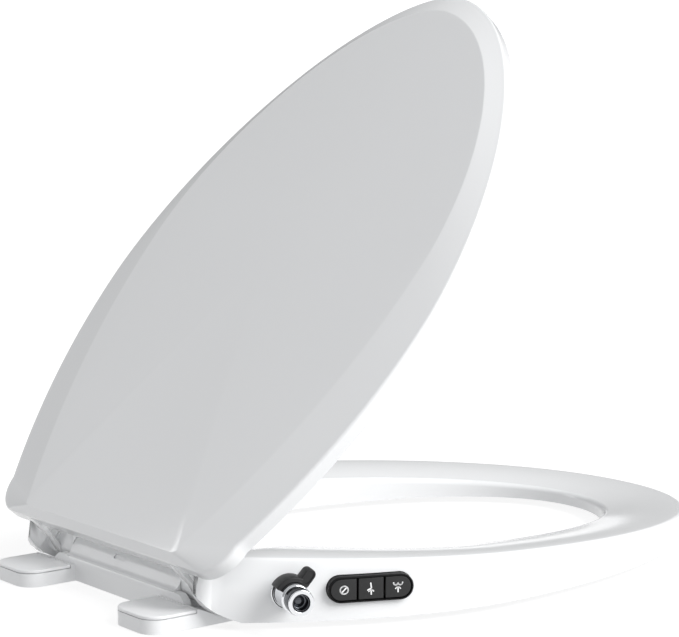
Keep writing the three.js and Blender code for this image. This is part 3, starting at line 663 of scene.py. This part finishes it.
def make_nozzle():
    """Two wash tubes with domed, drilled tips on one sliding plate."""
    low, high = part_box("nozzle_slider")
    rear, front, z = high.y / MM, low.y / MM, (low.z + high.z) / 2 / MM
    plate = [(-11.5, z - 5.5), (11.5, z - 5.5), (11.5, z + 5.5), (-11.5, z + 5.5)]
    nozzle = prism("nozzle", plate, -rear, 2 - rear, ALONG_MINUS_Y, 0.5)
    profile = [(0, 1.5 - rear), (3.5, 1.5 - rear), (3.5, -front - 4), (3.0, -front - 1), (1.5, -front - 0.1),
               (0, -front)]
    tube = turned("tube", rounded_profile(profile, 1.2))
    tube.data.transform(Matrix(((1, 0, 0, 5.5 * MM), (0, 0, -1, 0), (0, 1, 0, z * MM), (0, 0, 0, 1))))
    for k in range(4):
        y = front + 2.4 + 1.6 * k
        tube = cut(tube, prism("hole", disc(0.45, 5.5, y, 12), z + 1, z + 6))
    nozzle = both_sides(nozzle, tube, join)
    tidy(nozzle)
    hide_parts("nozzle_slider")
    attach(nozzle, "nozzle")
    return nozzle


def make_damper(word, side):
    """A damper cartridge with grooves round its body."""
    profile = [(0, BARREL_HALF - 46), (5.2, BARREL_HALF - 46), (6, BARREL_HALF - 44.5)]
    for k in range(4):
        at = BARREL_HALF - 38 + 8 * k
        profile += [(6, at), (5.5, at + 0.4), (5.5, at + 1.2), (6, at + 1.6)]
    profile += [(6, BARREL_HALF), (2.8, BARREL_HALF), (2.8, BARREL_HALF - 12), (0, BARREL_HALF - 12)]
    damper = turned(f"damper_{word}", rounded_profile(profile, 0.3, 2))
    damper.data.transform(Matrix(((0, 0, side, 0), (0, 1, 0, 0), (1, 0, 0, HINGE.z), (0, 0, 0, 1))))
    tidy(damper)
    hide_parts(f"soft_close_damper_{word}")
    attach(damper, "base")
    return damper


def make_pin(word, side):
    """A steel hinge pin with chamfered ends."""
    low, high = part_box(f"hinge_pin_{word}")
    ends = sorted((abs(low.x) / MM, abs(high.x) / MM))
    pin = turned(f"pin_{word}", rounded_profile(
        [(0, ends[0]), (1.9, ends[0]), (PIN_R, ends[0] + 0.8), (PIN_R, ends[1] - 0.8), (1.9, ends[1]),
         (0, ends[1])], 0.3, 2), None, 40)
    pin.data.transform(Matrix(((0, 0, side, 0), (0, 1, 0, 0), (1, 0, 0, HINGE.z), (0, 0, 0, 1))))
    tidy(pin)
    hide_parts(f"hinge_pin_{word}")
    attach(pin, "base")
    return pin


SCREWS = [(side * x, y) for side in (-1, 1) for x, y in ((138, -75), (151, -220), (128, -325), (30, -424))]


def make_cover():
    """The plate under the ring, with counterbored screw holes and the screws in them."""
    top, low = seat_low.z / MM + 2.5, seat_low.z / MM
    gap, edge = SEAT_WALL + GAP, SEAT_WALL + 0.9
    outer, outer_low = outline(**SEAT, grow=-gap), outline(**SEAT, grow=-edge)
    inner, inner_low = outline(**HOLE, grow=gap), outline(**HOLE, grow=edge)
    loops = [(outer_low, low), (outer, low + 0.6), (outer, top), (inner, top), (inner, low + 0.6),
             (inner_low, low)]
    cover = skin("cover", [[(x, y, z) for x, y in loop] for loop, z in loops], closed=True)
    room = NOTCH_HALF + gap
    cover = cut(cover, block("room", -room, room, NOTCH_Y - gap, 200, -50, 100))
    cover = cut(cover, block("rear", -300, 300, -2, 200, -50, 100))
    for x, y in SCREWS:
        cover = cut(cover, turned("bore", [(0, low - 1), (3.4, low - 1), (3.4, low + 1.3), (0, low + 1.3)],
                                  Matrix.Translation((x * MM, y * MM, 0)), 32))
        head = turned("head", rounded_profile(
            [(0, low + 0.3), (2.6, low + 0.3), (2.9, low + 0.6), (2.9, low + 1.5), (0, low + 1.5)], 0.3, 2),
            Matrix.Translation((x * MM, y * MM, 0)), 32)
        for a, b in ((1.6, 0.35), (0.35, 1.6)):
            head = cut(head, block("cross", x - a, x + a, y - b, y + b, low, low + 0.9))
        cover = join(cover, head)
    for k in range(1, 5):
        low_pad, high_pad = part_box(f"seat_bumper_{k}")
        x, y = (low_pad.x + high_pad.x) / 2 / MM, (low_pad.y + high_pad.y) / 2 / MM
        cover = cut(cover, prism("stem_hole", disc(3.3, x, y), low - 1, top + 1))
    tidy(cover)
    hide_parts("seat_bottom_cover")
    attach(cover, "seat")
    return cover


# ---------------------------------------------------------------- shader helper
class Value:
    """A number socket that ordinary arithmetic works on."""

    def __init__(self, tree, socket):
        self.tree, self.socket = tree, socket

    def _math(self, operation, *values):
        return self.tree.node("ShaderNodeMath", {"operation": operation}, dict(enumerate(values)))

    def __add__(self, other):
        return self._math("ADD", self, other)

    def __rsub__(self, other):
        return self._math("SUBTRACT", other, self)

    def __mul__(self, other):
        return self._math("MULTIPLY", self, other)

    __radd__, __rmul__ = __add__, __mul__

    def most(self, other):
        return self._math("MAXIMUM", self, other)

    def least(self, other):
        return self._math("MINIMUM", self, other)

    def size(self):
        return self._math("ABSOLUTE", self)


class Tree:
    """Nodes added by type, settings and inputs; the last one made is the one that is shown."""

    def __init__(self, tree):
        self.nodes, self.links = tree.nodes, tree.links
        self.nodes.clear()

    def node(self, kind, settings, inputs, output=0):
        node = self.nodes.new(kind)
        for key, value in settings.items():
            setattr(node, key, value)
        for key, value in inputs.items():
            if isinstance(value, Value):
                self.links.new(value.socket, node.inputs[key])
            else:
                node.inputs[key].default_value = value
        self.last = Value(self, node.outputs[output])
        return self.last

    def end(self, kind):
        self.links.new(self.last.socket, self.nodes.new(kind).inputs["Surface"])


class Finish(Tree):
    """One procedural material."""

    def __init__(self, name):
        self.material = bpy.data.materials.new(name)
        self.material.use_nodes = True
        super().__init__(self.material.node_tree)
        self.place = self.node("ShaderNodeTexCoord", {}, {}, "Object")

    def noise(self, scale, detail=3, rough=0.5, stretch=(1, 1, 1)):
        where = self.node("ShaderNodeMapping", {}, {"Vector": self.place, "Scale": stretch})
        return self.node("ShaderNodeTexNoise", {}, {"Vector": where, "Scale": scale, "Detail": detail,
                                                    "Roughness": rough})

    def blend(self, share, first, second):
        """Colour between two colours."""
        inputs = {0: share, 6: (*first, 1), 7: (*second, 1)}
        return self.node("ShaderNodeMix", {"data_type": "RGBA"}, inputs, 2)

    def bump(self, height, distance, strength=0.3):
        inputs = {"Height": height, "Distance": distance, "Strength": strength}
        return self.node("ShaderNodeBump", {}, inputs)

    def surface(self, **inputs):
        self.node("ShaderNodeBsdfPrincipled", {}, {k.replace("_", " "): v for k, v in inputs.items()})
        self.end("ShaderNodeOutputMaterial")
        return self.material


def moulded(name, shade, rough, grain=1600, depth=0.00001, spread=0.02, coat=0.0, shine=0.5):
    """Injection-moulded plastic: a whisper of colour drift, uneven gloss and a fine skin."""
    f = Finish(name)
    drift, skin_noise = f.noise(9, 3), f.noise(grain, 2)
    gloss = f.noise(26, 4, 0.6)
    dark = tuple(c * (1 - spread) for c in shade)
    return f.surface(Base_Color=f.blend(drift, dark, shade), Roughness=gloss * (rough * 0.5) + rough * 0.75,
                     Normal=f.bump(skin_noise, depth, 0.25), Coat_Weight=coat, Coat_Roughness=0.06,
                     Specular_IOR_Level=shine)


def plated(name, shade=(0.80, 0.81, 0.83), rough=0.06):
    """Polished plating with faint smears."""
    f = Finish(name)
    smear = f.noise(70, 4, 0.6, (1, 1, 3))
    return f.surface(Base_Color=f.blend(smear, tuple(c * 0.95 for c in shade), shade), Metallic=1.0,
                     Roughness=smear * 0.06 + rough, Normal=f.bump(f.noise(400, 2), 0.00001, 0.08))


def drawn_steel(name):
    f = Finish(name)
    lines = f.noise(500, 3, 0.6, (0.1, 1, 1))
    return f.surface(Base_Color=f.blend(lines, (0.50, 0.51, 0.52), (0.66, 0.67, 0.68)), Metallic=1.0,
                     Roughness=lines * 0.15 + 0.22, Normal=f.bump(lines, 0.00002, 0.2))


def soft_rubber(name, shade):
    f = Finish(name)
    dust = f.noise(120, 5, 0.7)
    return f.surface(Base_Color=f.blend(dust, tuple(c * 0.9 for c in shade), shade),
                     Roughness=dust * 0.15 + 0.55, Normal=f.bump(f.noise(900, 3), 0.00004, 0.4))


WHITE = moulded("gloss_white_moulding", (0.86, 0.865, 0.87), 0.13, coat=0.4)
SOFT_WHITE = moulded("semi_gloss_white_moulding", (0.86, 0.865, 0.87), 0.3)
SATIN_WHITE = moulded("satin_white_moulding", (0.78, 0.785, 0.79), 0.36, grain=900, depth=0.00002)
BLACK = moulded("satin_black_moulding", (0.009, 0.009, 0.0095), 0.5, grain=1100, depth=0.00003, spread=0.25)
GLOSS_BLACK = moulded("deep_black_moulding", (0.002, 0.002, 0.0025), 0.45, spread=0.25, shine=0.2)
SIGN = moulded("pale_print", (0.95, 0.95, 0.95), 0.5)
GREY = moulded("grey_moulding", (0.42, 0.44, 0.46), 0.4, grain=800, depth=0.00002)
TUBING = moulded("flexible_tubing", (0.60, 0.63, 0.66), 0.45)
CHROME = plated("polished_chrome")
STEEL = drawn_steel("drawn_steel")
SMOKED = plated("smoked_chrome", (0.10, 0.105, 0.115), 0.12)
PAD = soft_rubber("pale_rubber", (0.66, 0.66, 0.65))


def finish(obj, material):
    obj.data.materials.clear()
    obj.data.materials.append(material)


SLOT_FINISH = {"white_plastic": WHITE, "cover_plastic": SATIN_WHITE, "black_plastic": BLACK,
               "soft_bumper": PAD, "grey_plastic": GREY, "chrome": CHROME, "steel": STEEL, "hose": TUBING}
for part in frame["record"]["subparts"]:
    finish(frame["nodes"][part["node"]], SLOT_FINISH[part["material_slot"]])


def dress(obj, material):
    finish(obj, material)


dress(make_seat(), WHITE)
dress(make_lid(), WHITE)
dress(make_base(), SOFT_WHITE)
for word, side in (("left", 1), ("right", -1)):
    dress(make_foot_cap(word, side), SOFT_WHITE)
valve_body, valve_collar, valve_nipple = make_valve()
dress(valve_body, CHROME)
dress(valve_collar, CHROME)
valve_collar.data.materials.append(SMOKED)
for polygon in valve_collar.data.polygons:
    out = (VALVE.inverted() @ polygon.center).z / MM
    polygon.material_index = 1 if out < 30.6 else 0
dress(valve_nipple, SMOKED)
dress(make_lever(), BLACK)
dress(make_bezel(), GLOSS_BLACK)
for name, place in (("stop", -1), ("rear_wash", 0), ("front_wash", 1)):
    dress(make_button(name, place), BLACK)
    dress(make_sign(name, place), SIGN)
for pad in [*seat_bumpers(), *lid_bumpers()]:
    dress(pad, PAD)
dress(make_cover(), SATIN_WHITE)
dress(make_nozzle(), SATIN_WHITE)
for word, side in (("left", 1), ("right", -1)):
    dress(make_damper(word, side), GREY)
    dress(make_pin(word, side), STEEL)


# ---------------------------------------------------------------- floor, light and camera
KEY_WAY, KEY_POWER, KEY_SPREAD = Vector((-0.72, -0.36, 0.60)), 2.8, 40
GLOW_WAY = Vector((-0.95, 0.05, 0.30))
GLOW, SKY, FILL, BOUNCE = 0.46, 0.12, 0.365, 0.36


def make_floor():
    reach = 150
    edge = [(-reach, -reach, 0), (reach, -reach, 0), (reach, reach, 0), (-reach, reach, 0)]
    floor = piece("floor", edge, [(0, 1, 2, 3)], 1)
    floor.location.z = -0.0005
    floor.visible_diffuse = False
    f = Finish("pale_floor")
    pale = f.blend(f.noise(3), (0.31, 0.31, 0.31), (0.33, 0.33, 0.33))
    finish(floor, f.surface(Base_Color=pale, Roughness=0.9, Specular_IOR_Level=0.0,
                            Emission_Color=(1, 1, 1, 1), Emission_Strength=0.78))


def soft_light(name, at, aim, size, power, shade=(1, 1, 1)):
    data = bpy.data.lights.new(name, "AREA")
    data.shape, data.size, data.size_y, data.energy, data.color = "RECTANGLE", size[0], size[1], power, shade
    obj = bpy.data.objects.new(name, data)
    bpy.context.scene.collection.objects.link(obj)
    obj.location = at
    obj.rotation_euler = (Vector(aim) - Vector(at)).to_track_quat("-Z", "Y").to_euler()


def make_world():
    """Soft light that grows towards the controls' side and the front, with a white band at the horizon."""
    world = bpy.data.worlds.new("studio")
    bpy.context.scene.world = world
    world.use_nodes = True
    tree = Tree(world.node_tree)
    way = tree.node("ShaderNodeTexCoord", {}, {}, "Generated")
    height = tree.node("ShaderNodeSeparateXYZ", {}, {"Vector": way}, "Z")
    towards = tree.node("ShaderNodeVectorMath", {"operation": "DOT_PRODUCT"}, {0: way, 1: GLOW_WAY}, "Value")
    glow = towards.most(0)
    band = (1.8 - height.size() * 40).most(0).least(1)
    strength = glow * glow * GLOW + band * 0.8 + height * SKY + (0 - height).most(0) * BOUNCE + FILL
    tree.node("ShaderNodeBackground", {}, {"Color": (0.98, 0.988, 1, 1), "Strength": strength})
    tree.end("ShaderNodeOutputWorld")


def sun(name, way, strength, spread):
    data = bpy.data.lights.new(name, "SUN")
    data.energy, data.angle = strength, math.radians(spread)
    obj = bpy.data.objects.new(name, data)
    bpy.context.scene.collection.objects.link(obj)
    obj.rotation_euler = (-way).to_track_quat("-Z", "Y").to_euler()


def make_camera():
    data = bpy.data.cameras.new("camera")
    data.lens, data.sensor_width, data.clip_end = 116.1, 36, 400
    camera = bpy.data.objects.new("camera", data)
    bpy.context.scene.collection.objects.link(camera)
    camera.location = (-1.1783, 0.7647, 0.3623)
    look = Vector((0.7772, -0.6160, -0.1288))
    camera.rotation_euler = look.to_track_quat("-Z", "Y").to_euler()
    bpy.context.scene.camera = camera


make_camera()
make_floor()
make_world()
sun("key", KEY_WAY, KEY_POWER, KEY_SPREAD)
soft_light("strip", (1.6, 1.05, 0.56), (0, 0, 0.2), (0.45, 1.3), 7)
bpy.context.scene.view_settings.view_transform = "Standard"
